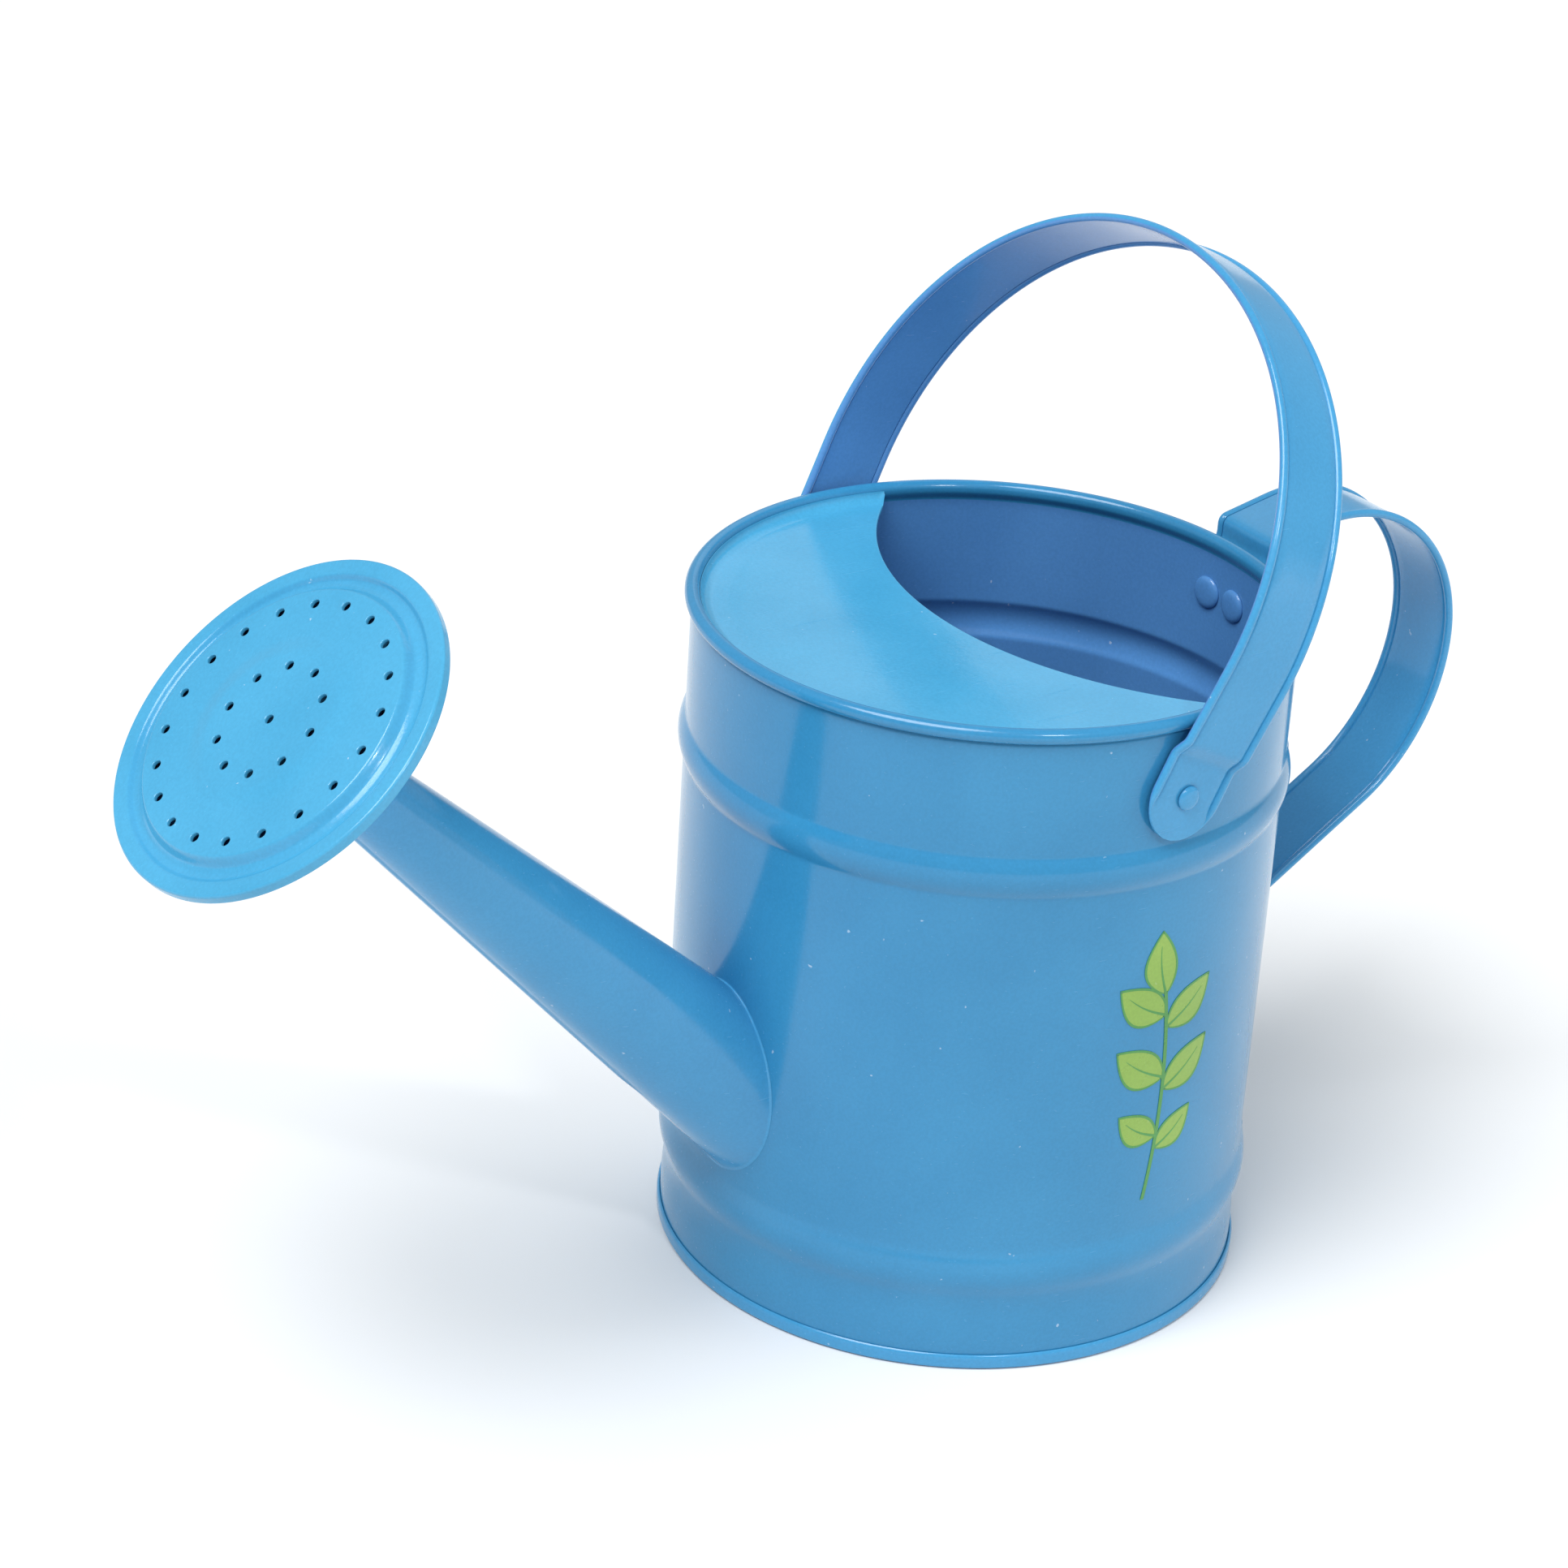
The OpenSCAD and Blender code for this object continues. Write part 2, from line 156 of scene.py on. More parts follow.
def drill(obj, place, profile, steps=32):
    """Cuts the solid of a two-point profile (radius, height), turned round the place's Z, out of a piece."""
    verts, faces = lathe(profile, steps, place, closed=False)
    faces.append(tuple(2 * k for k in range(steps))[::-1])
    faces.append(tuple(2 * k + 1 for k in range(steps)))
    tool = make_object("drill", verts, faces, None)
    cut = obj.modifiers.new("drill", "BOOLEAN")
    cut.operation, cut.solver, cut.object = "DIFFERENCE", "EXACT", tool
    mesh = bpy.data.meshes.new_from_object(obj.evaluated_get(bpy.context.evaluated_depsgraph_get()))
    obj.modifiers.clear()
    obj.data = mesh
    shade_smooth(mesh, 35)
    bpy.data.objects.remove(tool)


def cut_round_holes(obj, places, radius, depth):
    """Drills round holes along the local Z of each placing matrix, this deep to both sides."""
    for place in places:
        drill(obj, place, [(radius, -depth), (radius, depth)])


def axis_place(origin, direction, up=(0, 1, 0)):
    """Matrix whose local Z runs along direction from origin."""
    z = Vector(direction).normalized()
    x = Vector(up).cross(z).normalized()
    y = z.cross(x)
    m = Matrix((x, y, z)).transposed().to_4x4()
    m.translation = Vector(origin)
    return m


# ---------------------------------------------------------------- materials

def paint(name, colour, dark, rough=0.15, fleck=0.35, peel_height=0.12):
    """Glossy enamel on sheet steel: slow tone changes, orange peel, dust flecks and small rubbed spots."""
    mat = bpy.data.materials.new(name)
    mat.use_nodes = True
    nodes, links = mat.node_tree.nodes, mat.node_tree.links
    shader = nodes["Principled BSDF"]
    coords = nodes.new("ShaderNodeTexCoord")

    def noise(scale, detail=3.0, roughness=0.5):
        n = nodes.new("ShaderNodeTexNoise")
        n.inputs["Scale"].default_value = scale
        n.inputs["Detail"].default_value = detail
        n.inputs["Roughness"].default_value = roughness
        links.new(coords.outputs["Object"], n.inputs["Vector"])
        return n

    def ramp(source, stops):
        r = nodes.new("ShaderNodeValToRGB")
        while len(r.color_ramp.elements) < len(stops):
            r.color_ramp.elements.new(0.5)
        for e, (pos, col) in zip(r.color_ramp.elements, stops):
            e.position, e.color = pos, (*col, 1) if len(col) == 3 else (col[0],) * 3 + (1,)
        links.new(source, r.inputs[0])
        return r

    def mix(factor, a, b, blend="MIX"):
        m = nodes.new("ShaderNodeMix")
        m.data_type, m.blend_type = "RGBA", blend
        if isinstance(factor, float):
            m.inputs[0].default_value = factor
        else:
            links.new(factor, m.inputs[0])
        for socket, value in ((m.inputs[6], a), (m.inputs[7], b)):
            if isinstance(value, tuple):
                socket.default_value = (*value, 1)
            else:
                links.new(value, socket)
        return m.outputs[2]

    tone = ramp(noise(28, 4).outputs["Fac"], [(0.32, dark), (0.62, colour)])
    grain = ramp(noise(1500, 2).outputs["Fac"], [(0.35, (0.93,)), (0.65, (1.0,))])
    base = mix(1.0, tone.outputs[0], grain.outputs[0], "MULTIPLY")
    specks = ramp(noise(480, 2, 0.4).outputs["Fac"], [(0.775, (0.0,)), (0.8, (fleck,))])
    base = mix(specks.outputs[0], base, (0.78, 0.86, 0.92))
    links.new(base, shader.inputs["Base Color"])

    # handling marks: broad smears and faint fine scratches in the gloss
    smear = ramp(noise(45, 6, 0.6).outputs["Fac"], [(0.35, (rough * 0.82,)), (0.7, (rough * 1.35,))])
    stretch = nodes.new("ShaderNodeMapping")
    stretch.inputs["Rotation"].default_value = (0.5, 0.3, 0.9)
    stretch.inputs["Scale"].default_value = (0.05, 1.0, 1.0)
    links.new(coords.outputs["Object"], stretch.inputs["Vector"])
    lines = noise(1400, 2, 0.4)
    links.new(stretch.outputs[0], lines.inputs["Vector"])
    scratches = ramp(lines.outputs["Fac"], [(0.7, (0.0,)), (0.76, (0.22,))])
    links.new(mix(1.0, smear.outputs[0], scratches.outputs[0], "ADD"), shader.inputs["Roughness"])
    shader.inputs["IOR"].default_value = 1.45
    shader.inputs["Coat Weight"].default_value = 0.12
    shader.inputs["Coat Roughness"].default_value = 0.04

    peel = nodes.new("ShaderNodeBump")
    peel.inputs["Strength"].default_value = peel_height
    peel.inputs["Distance"].default_value = 0.0001
    links.new(noise(1100, 2).outputs["Fac"], peel.inputs["Height"])
    waves = nodes.new("ShaderNodeBump")
    waves.inputs["Strength"].default_value = 0.35
    waves.inputs["Distance"].default_value = 0.0006
    links.new(noise(34, 2, 0.4).outputs["Fac"], waves.inputs["Height"])
    links.new(peel.outputs[0], waves.inputs["Normal"])
    links.new(waves.outputs[0], shader.inputs["Normal"])
    return mat


def srgb(r, g, b):
    return tuple((c / 255 / 12.92) if c <= 10 else ((c / 255 + 0.055) / 1.055) ** 2.4 for c in (r, g, b))


BLUE = paint("can_enamel", srgb(68, 153, 202), srgb(62, 146, 195))
# darker copy of the can enamel for the wall's outside: painted shade, the wall wears the same paint as the
# rest
WALL_SHADE_BLUE = paint("wall_enamel_painted_shade", srgb(56, 139, 186), srgb(50, 132, 179))
# purple-shifted copy of the can enamel for inner faces (can inside, bail's inner face, rivet tails): painted
# shade, the same paint in shadow
INSIDE_SHADE_BLUE = paint("inside_enamel_painted_shade", srgb(86, 144, 204), srgb(80, 137, 197))
# lighter copy of the can enamel for the up-facing cover and rose face: painted light; the rougher, more
# mottled gloss is the cover's own
COVER_LIT_BLUE = paint("cover_enamel_painted_light", srgb(76, 167, 210), srgb(67, 158, 201), rough=0.18, peel_height=0.3)
LEAF_GREEN = paint("leaf_print", srgb(145, 181, 80), srgb(135, 172, 75), rough=0.3, fleck=0.1)
LINE_GREEN = paint("leaf_line_print", srgb(82, 152, 78), srgb(74, 142, 70), rough=0.3, fleck=0.1)


# ---------------------------------------------------------------- can body

# centre height, half height, stand-out and softness of the two pressed beads
UPPER_BEAD, LOWER_BEAD = (115.9, 4.3, 1.35, 0.10), (22.8, 4.6, 1.15, 0.4)


def bead(z, centre, half, out, soft):
    """How far a pressed bead stands out at height z, with filleted edges."""
    t = (z - centre) / half
    arch = out * (1 - t * t)
    return soft * math.log1p(math.exp(max(-40.0, min(40.0, arch / soft)))) if abs(t) < 4 else 0.0


def wall_out(z):
    """Middle radius of the wall's sheet at height z."""
    r = WALL_R - SHEET / 2
    r += bead(z, *UPPER_BEAD) + bead(z, *LOWER_BEAD)
    r -= 0.35 * math.exp(-((z - 13.5) / 4.0) ** 2)
    return r


SEAM_ANGLE, SEAM_WIDTH, SEAM_RISE = 150, 5.0, 0.35


def can_wall():
    heights = list(np.concatenate([
        np.linspace(0.9, 17, 10), np.linspace(17.5, 28.5, 34), np.linspace(30, 108, 16),
        np.linspace(109, 123, 44), np.linspace(124.5, 144.6, 10)]))
    line = [(wall_out(z), z) for z in heights]
    # S-bend up to the curl's inner side, then round over the top and down outside
    line += [(63.1 - 1.08 * smooth_step(u), 144.8 + 2.2 * u) for u in np.linspace(0.1, 0.95, 8)]
    line += arc(RIM_X, RIM_Z, RIM_R - SHEET / 2, 172, -72, 30)
    profile = ribbon(line, SHEET)
    outside = range(len(line) + 3, 2 * len(line) + 3)
    # even steps round the can, with close ones at the edges of the lapped side seam
    half = math.degrees(SEAM_WIDTH / 2 / WALL_R)
    angles = {round(k * 1.25, 3) for k in range(288)}
    for side in (-1, 1):
        angles |= {round(SEAM_ANGLE + side * (half + d), 3) for d in (-0.25, -0.12, 0, 0.12, 0.25)}
    verts = []
    for angle in sorted(angles):
        edge = abs(angle - SEAM_ANGLE) - half
        lap = SEAM_RISE * (1 - smooth_step((edge + 0.13) / 0.26))
        c, s = math.cos(math.radians(angle)), math.sin(math.radians(angle))
        for i, (r, z) in enumerate(profile):
            if i in outside:
                r += lap * smooth_step((z - 3.8) / 0.8) * smooth_step((144.5 - z) / 0.8)
            verts.append((r * c, r * s, z))
    return verts, grid_faces(len(angles), len(profile), close_rows=True, close_cols=True)


# the wall's outside takes the darker enamel copy, which is painted shade
wall = make_object("can_wall", *can_wall(), WALL_SHADE_BLUE, extra_materials=(INSIDE_SHADE_BLUE,))
# inner faces of the wall take the purple-shifted enamel copy: painted shade
second_material(wall, lambda face: face.center.z < 144.6 * MM and face.normal.xy.dot(face.center.xy) < 0)


def wall_place(angle, z, outward=True):
    """Local Z points outwards through the wall at this angle (degrees) and height."""
    a = math.radians(angle)
    d = Vector((math.cos(a), math.sin(a), 0))
    return axis_place(d * WALL_R + Vector((0, 0, z)), d, up=(0, 0, 1))


RIVET_HALF_ANGLE = math.degrees(math.asin(4.3 / (WALL_R - SHEET)))


def middle_height(node):
    """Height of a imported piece's middle, in millimetres."""
    low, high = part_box(node)
    return (low.z + high.z) / 2 / MM


UPPER_Z, LOWER_Z = middle_height("upper_rivet_left"), middle_height("lower_rivet_left")

PIVOT_PLACES = [wall_place(90, PIVOT_Z), wall_place(-90, PIVOT_Z)]
REAR_PLACES = [wall_place(180 + side * RIVET_HALF_ANGLE, z) for side in (-1, 1) for z in (UPPER_Z, LOWER_Z)]

cut_round_holes(wall, PIVOT_PLACES, PIVOT_SHANK + 0.06, 4)
cut_round_holes(wall, REAR_PLACES, REAR_SHANK + 0.06, 4)

SPOUT_DIR = Vector((math.cos(SPOUT_RISE), 0, math.sin(SPOUT_RISE)))
SPOUT_BASE = Vector((WALL_R, 0, SPOUT_Z))
TAPER = (SPOUT_R0 - SPOUT_R1) / SPOUT_LEN
spout_place = axis_place(SPOUT_BASE, SPOUT_DIR)


# the wall is open along the spout's bore
BORE_REACH = 30
drill(wall, spout_place, [(SPOUT_R0 + TAPER * BORE_REACH - SHEET, -BORE_REACH),
                          (SPOUT_R0 - TAPER * BORE_REACH - SHEET, BORE_REACH)], steps=96)


# ---------------------------------------------------------------- foot

def foot_seam():
    """Bottom plate whose edge turns down inside the wall and folds up outside it."""
    line = [(r, 4.2) for r in (0, 10, 20, 30, 40, 50, 57, 59.5)]
    line += arc(60.6, 3.2, 1.0, 90, 50, 4)
    line += [(61.55, 3.75), (61.9, 4.0)] + arc(62.35, 3.85, 0.38, 150, 0, 6)
    line += [(62.73, 2.0), (62.73, 0.72), (63.44, 0.72), (63.44, 2.9)]
    line += [(63.47, 3.18), (63.62, 3.25), (63.82, 3.12), (64.0, 2.85), (64.08, 2.5), (64.1, 2.0)]
    line += [(64.1, 0.75)]
    line += arc(63.5, 0.6, 0.6, 0, -90, 7)
    line += [(62.9, 0.0)] + arc(62.7, 0.5, 0.5, -90, -180, 6)
    line += [(62.2, 2.4), (61.9, 3.2), (61.2, 3.4), (59.5, 3.55), (57, 3.6), (50, 3.6), (40, 3.6), (30, 3.6),
             (20, 3.6), (10, 3.6), (0, 3.6)]
    return lathe(line, 288, closed=False)


foot = make_object("foot_seam", *foot_seam(), BLUE)


# ---------------------------------------------------------------- half cover

COVER_Z, FILLET = 145.6, 2.2
EDGE_R, EDGE_X = 78.7, 12.2
EDGE_C = EDGE_X - EDGE_R
LIP_R = RIM_X - RIM_R - 0.05
FLAT_R = LIP_R - SHEET - FILLET


def cover_point(u, angle, drop):
    """Point of the cover at unrolled radius u, lowered by drop along the sheet's normal."""
    if u <= FLAT_R:
        r, z, nr, nz = u, COVER_Z, 0.0, 1.0
    else:
        a = min((u - FLAT_R) / FILLET, math.pi / 2)
        rise = max(0.0, u - FLAT_R - FILLET * math.pi / 2)
        r = FLAT_R + FILLET * math.sin(a)
        z = COVER_Z + FILLET * (1 - math.cos(a)) + rise
        nr, nz = -math.sin(a), math.cos(a)
    r, z = r - nr * drop, z - nz * drop
    return Vector((r * math.cos(angle), r * math.sin(angle), z))


def unrolled(r):
    if r <= FLAT_R:
        return r
    return FLAT_R + FILLET * math.asin(min(1.0, (r - FLAT_R) / FILLET))


def half_cover():
    u_end = FLAT_R + FILLET * math.pi / 2 - 0.1
    corner = math.acos(max(-1, min(1, ((EDGE_R ** 2) - EDGE_C ** 2 - (FLAT_R + FILLET) ** 2)
                                   / (-2 * EDGE_C * (FLAT_R + FILLET)))))
    verts, rows = [], 161
    # rows across the crescent: millimetres from the free edge over the hem, then shares of the flat
    hem_steps = [0.0, 0.15, 0.4, 1.0, 2.0, 3.0, 3.4]
    flat_shares = [0.12, 0.25, 0.4, 0.55, 0.7, 0.82, 0.9, 1.0]
    for i in range(rows):
        s = -1 + 2 * i / (rows - 1)
        angle = corner * math.copysign(abs(s) ** 0.9, s) * 0.9995
        ring = Vector((u_end * math.cos(angle), u_end * math.sin(angle)))
        # matching point of the free edge
        cos_a = math.cos(angle)
        r_in = EDGE_C * cos_a + math.sqrt(max(0.0, (EDGE_C * cos_a) ** 2 + EDGE_R ** 2 - EDGE_C ** 2))
        r_in = min(r_in, FLAT_R + FILLET - 0.02)
        u_in = unrolled(r_in)
        width = max(0.05, u_end - u_in)
        fil = max(0.0, min(width, u_end - FLAT_R))
        us = [u_in + min(d, width * 0.3 * d / hem_steps[-1]) for d in hem_steps]
        last = us[-1]
        us += [last + (max(last, u_end - fil) - last) * t for t in flat_shares]
        last = us[-1]
        us += [last + (u_end - last) * t for t in np.linspace(0.08, 1, 12)]
        # the lip thins from above, so that it runs into the curl beside it
        thinned = [0.5 * smooth_step((u - FLAT_R - 1.0) / (u_end - FLAT_R - 1.0)) for u in us]
        top = [cover_point(u, angle, drop) for u, drop in zip(us, thinned)]
        under = []
        for k, u in enumerate(us):
            hem = SHEET * 2 if k <= 5 else SHEET
            under.append(cover_point(u, angle, hem - 0.001))
        nose = cover_point(us[0] - min(0.42, width * 0.2), angle, SHEET * 0.75)
        nose_hi = cover_point(us[0] - min(0.32, width * 0.15), angle, SHEET * 0.28)
        nose_lo = cover_point(us[0] - min(0.32, width * 0.15), angle, SHEET * 1.4)
        verts += [nose_hi] + top + under[::-1] + [nose_lo, nose]
    cols = len(verts) // rows
    faces = grid_faces(rows, cols, close_cols=True)
    faces.append(tuple(range(cols))[::-1])
    faces.append(tuple((rows - 1) * cols + k for k in range(cols)))
    return verts, faces


# the cover takes the lighter enamel copy, which is painted light
cover = make_object("half_cover", *half_cover(), COVER_LIT_BLUE, sharp=50)


# ---------------------------------------------------------------- spout

def spout():
    """Cone from the flange on the wall to the rose, one closed sheet."""
    steps = 160
    x_axis, y_axis = spout_place.col[0].xyz, spout_place.col[1].xyz

    def cone_point(psi, s, grow):
        r = SPOUT_R0 - TAPER * s + grow
        return SPOUT_BASE + SPOUT_DIR * s + (x_axis * math.cos(psi) + y_axis * math.sin(psi)) * r

    def meet(psi, grow, radius):
        """Distance along the spout where this line of the cone meets a cylinder round Z."""
        lo, hi = -25.0, 40.0
        for _ in range(50):
            mid = (lo + hi) / 2
            p = cone_point(psi, mid, grow)
            if math.hypot(p.x, p.y) < radius:
                lo = mid
            else:
                hi = mid
        return (lo + hi) / 2

    def seam(psi, s):
        """Height of the lapped seam along the underside."""
        turn = min(psi, 2 * math.pi - psi)
        across = turn * (SPOUT_R0 - TAPER * s)
        ends = smooth_step((s - 20) / 3) * smooth_step((126 - s) / 3)
        return 0.35 * (1 - smooth_step((across - 1.7) / 0.5)) * ends

    rings = []
    for k in range(steps):
        psi = 2 * math.pi * k / steps
        out = []
        s_root = meet(psi, 0, WALL_R + 0.08)
        root = cone_point(psi, s_root, 0)
        along = (cone_point(psi, s_root + 1, 0) - root).normalized()
        normal = Vector((root.x, root.y, 0)).normalized()
        # direction in the wall's surface that leads away from the spout
        nxt = cone_point(psi + 0.01, meet(psi + 0.01, 0, WALL_R + 0.08), 0)
        tangent = (nxt - root).normalized()
        away = tangent.cross(normal).normalized()
        if away.dot(root - (SPOUT_BASE + SPOUT_DIR * s_root)) < 0:
            away = -away

        def on_wall(d, lift):
            p = root + away * d
            a = math.atan2(p.y, p.x)
            r = WALL_R + 0.05 + lift
            return Vector((r * math.cos(a), r * math.sin(a), p.z))

        # outside, from the tip down to the root
        for t in np.concatenate([np.linspace(0, 0.9, 19), np.linspace(0.92, 1, 6)]):
            s = (SPOUT_LEN - 0.2) + ((s_root + 0.45) - (SPOUT_LEN - 0.2)) * t
            out.append(cone_point(psi, s, seam(psi, s)))
        # fillet out to the solder edge on the wall
        p0, p3 = out[-1], on_wall(0.4, 0.03)
        c1, c2 = root + along * 0.2, root + away * 0.12 + normal * 0.03
        for t in np.linspace(0.1, 1, 10):
            q = (p0 * (1 - t) ** 3 + c1 * 3 * t * (1 - t) ** 2 + c2 * 3 * t * t * (1 - t) + p3 * t ** 3)
            out.append(q)
        out += [on_wall(0.45, 0.02), on_wall(0.46, 0.0)]
        # underside of the edge and the bore back to the tip
        s_in = meet(psi, -SHEET, WALL_R + 0.06)
        out.append(cone_point(psi, s_in, -SHEET))
        for t in np.linspace(0.03, 1, 14):
            out.append(cone_point(psi, s_in + (SPOUT_LEN - 0.2 - s_in) * t, -SHEET))
        out.append(cone_point(psi, SPOUT_LEN, -SHEET * 0.5))
        rings.append(out)
    cols = len(rings[0])
    return [p for ring in rings for p in ring], grid_faces(steps, cols, close_rows=True, close_cols=True)


spout_obj = make_object("spout_cone", *spout(), BLUE, sharp=60)


# ---------------------------------------------------------------- rose

ROSE_C = SPOUT_BASE + SPOUT_DIR * ROSE_AT
ROSE_DIR = Vector((math.cos(ROSE_RISE), 0, math.sin(ROSE_RISE)))
rose_place = axis_place(ROSE_C, ROSE_DIR)
HOLE_R, DIMPLE_R = 0.96, 2.0


def rose_hole_centres(ring_r, count, turn):
    """Centres in the rose's plane; the pattern's zero direction is the can's Y axis."""
    angles = [math.radians(turn + i * 360 / count) for i in range(count)]
    return [(-ring_r * math.sin(a), ring_r * math.cos(a)) for a in angles]


def flat_with_holes(outer_r, inner_r, centres, z, steps=192):
    """Triangulated flat ring with round holes of DIMPLE_R."""
    pts, edges = [], []

    def loop(cx, cy, r, n):
        first = len(pts)
        for i in range(n):
            a = 2 * math.pi * i / n
            pts.append(Vector((cx + r * math.cos(a), cy + r * math.sin(a))))
            edges.append((first + i, first + (i + 1) % n))

    loop(0, 0, outer_r, steps)
    if inner_r:
        loop(0, 0, inner_r, steps)
    for cx, cy in centres:
        loop(cx, cy, DIMPLE_R, 24)
    out_v, _, out_f, *_ = delaunay_2d_cdt(pts, edges, [], 1, 1e-5)
    faces = []
    for f in out_f:
        m = sum((out_v[i] for i in f), Vector((0, 0))) / len(f)
        inside = m.length < outer_r and (not inner_r or m.length > inner_r)
        if inside and all((m - Vector(c)).length > DIMPLE_R * 0.99 for c in centres):
            faces.append(tuple(f))
    return [rose_place @ Vector((v.x, v.y, z)) for v in out_v], faces


def dimple(cx, cy, z):
    """Edge of a punched hole, rolled slightly in."""
    profile = [(DIMPLE_R, 0), (1.8, 0.01), (1.55, 0.05), (1.3, 0.07), (1.12, 0.04), (1.02, -0.03),
               (HOLE_R, -0.14), (HOLE_R, -0.75), (1.1, -0.72), (1.4, -SHEET), (DIMPLE_R, -SHEET)]
    return lathe(profile, 24, rose_place @ Matrix.Translation((cx, cy, z)), closed=False)


def rose_plate():
    turn = -4.9
    inner = [(0.0, 0.0)] + rose_hole_centres(12.0, 10, turn + 18)
    outer = rose_hole_centres(26.3, 20, turn)
    parts = []
    for z in (0.0, -SHEET):
        parts.append(flat_with_holes(14.4, 0, inner, 0.6 + z))
        parts.append(flat_with_holes(29.0, 19.6, outer, z))
        step = [(14.4, 0.6 + z), (14.6, 0.6 + z)]
        step += [(14.6 + 4.8 * t, z + 0.6 * (1 - smooth_step(t))) for t in np.linspace(0.06, 0.94, 13)]
        step += [(19.4, z), (19.6, z)]
        parts.append(lathe(step, 192, rose_place, closed=False))
    parts += [dimple(x, y, 0.6) for x, y in inner] + [dimple(x, y, 0.0) for x, y in outer]
    # groove, flange and hem folded round the back cone, down to the underside
    line = [(29.0, 0), (29.3, 0)]
    line += [(29.3 + 1.9 * t, -2.1 * smooth_step(t)) for t in np.linspace(0.08, 1, 10)]
    line += [(31.7, -2.42), (32.3, -2.52), (32.9, -2.42)]
    line += [(32.9 + 1.4 * t, -2.42 + 0.95 * smooth_step(t)) for t in np.linspace(0.15, 1, 7)]
    line += [(35.2, -1.44), (36.2, -1.38)]
    line += arc(ROSE_R - 0.62, -2.0, 0.62, 100, -6, 10)
    line += [(ROSE_R, -2.9)]
    line += arc(ROSE_R - 0.6, -3.4, 0.6, 0, -90, 8)
    line += [(35.3, -4.0), (35.15, -3.7), (35.3, -3.42), (36.7, -3.4), (36.88, -3.2), (36.88, -2.3)]
    line += [(36.6, -2.12), (34.3, -2.1)]
    line += [(34.3 - 1.3 * t, -2.1 - 0.95 * smooth_step(t)) for t in np.linspace(0.15, 1, 6)]
    line += [(32.3, -3.12), (31.6, -3.02), (31.1, -2.7)]
    line += [(31.1 - 1.8 * t, -2.7 + 2.1 * smooth_step(t)) for t in np.linspace(0.1, 0.95, 9)]
    line += [(29.25, -SHEET), (29.0, -SHEET)]
    parts.append(lathe(line, 192, rose_place, closed=False))
    return join(*parts)


# the rose face takes the lighter enamel copy, which is painted light
rose_face = make_object("rose_plate", *rose_plate(), COVER_LIT_BLUE, sharp=50)


def rose_cone():
    """Back cone and the socket on the spout's tip, lofted through circles."""
    steps = 160
    rings = []

    def ring(centre, direction, radius):
        place = axis_place(centre, direction)
        return [place @ Vector((radius * math.cos(2 * math.pi * i / steps),
                                radius * math.sin(2 * math.pi * i / steps), 0)) for i in range(steps)]

    def socket(s, grow):
        return ring(SPOUT_BASE + SPOUT_DIR * s, SPOUT_DIR, SPOUT_R0 - TAPER * s + grow)

    def cone(depth, radius):
        return ring(ROSE_C - ROSE_DIR * depth, ROSE_DIR, radius)

    mouth_out, mouth_in = ROSE_R - 2.7, ROSE_R - 3.1
    throat = SPOUT_R1 + 1.5
    rings += [socket(SPOUT_LEN - 8, 0.3), socket(SPOUT_LEN - 8.05, 0.5), socket(SPOUT_LEN - 7.8, 0.68)]
    rings += [socket(SPOUT_LEN - d, 0.68) for d in (6, 4, 2, 0.8)]
    between = (ROSE_DIR * 0.6 + SPOUT_DIR * 0.4).normalized()
    rings.append(ring(ROSE_C - between * 12.6, ROSE_DIR + SPOUT_DIR, throat - 0.35))
    for t in np.linspace(0, 1, 26):
        depth = ROSE_DEPTH + (3.55 - ROSE_DEPTH) * t
        flare = throat + (mouth_out - throat) * t + 0.55 * math.sin(math.pi * t)
        rings.append(cone(depth, flare))
    rings += [cone(3.38, ROSE_R - 2.35), cone(3.32, ROSE_R - 0.75), cone(2.9, ROSE_R - 0.75),
              cone(2.8, ROSE_R - 2.6), cone(3.1, mouth_in)]
    for t in np.linspace(0.04, 1, 14):
        depth = 3.1 + (ROSE_DEPTH - SHEET * 1.2 - 3.1) * t
        rings.append(cone(depth, mouth_in + (throat - 1.0 - mouth_in) * t))
    rings += [socket(SPOUT_LEN + 0.6, -0.2), socket(SPOUT_LEN + 0.3, 0.08), socket(SPOUT_LEN - 4, 0.08)]
    verts = [p for r in rings for p in r]
    return verts, grid_faces(len(rings), steps, close_rows=True, close_cols=True)


rose_back = make_object("rose_cone", *rose_cone(), BLUE, sharp=50)


# ---------------------------------------------------------------- straps

def strap_outline(half_w, roll):
    """Closed outline (across, out): sheet with rolled edges, whose hems close in a crease on each face."""
    h = STRAP_T / 2
    roll = max(roll, h + 0.004)
    depth = min(1.0, (roll - h) / 0.5)          # creases fade out with the roll
    c = half_w - roll
    a = math.degrees(math.asin(min(1.0, h / roll)))
    d = math.sqrt(roll * roll - h * h)
    root = c - d
    start = math.degrees(math.asin((h - 0.24 * depth) / roll))
    right = [(root - 0.85, h), (root - 0.55, h - 0.06 * depth), (root - 0.3, h - 0.2 * depth),
             (root - 0.16, h - 0.24 * depth)]
    right += arc(c, 0, roll, 180 - start, -(180 - a - 3), 22)
    right += [(root + 0.02, -h + 0.3 * depth), (root - 0.08, -h + 0.3 * depth), (root - 0.2, -h)]
    right += [(root - 0.85, -h)]
    span = root - 0.85
    inner = [(x * span, -h) for x in (0.7, 0.35, 0.0, -0.35, -0.7)]
    left = [(-x, y) for x, y in right][::-1]
    outer = [(x * span, h) for x in (-0.7, -0.35, 0.0, 0.35, 0.7)]
    return right + inner + left + outer


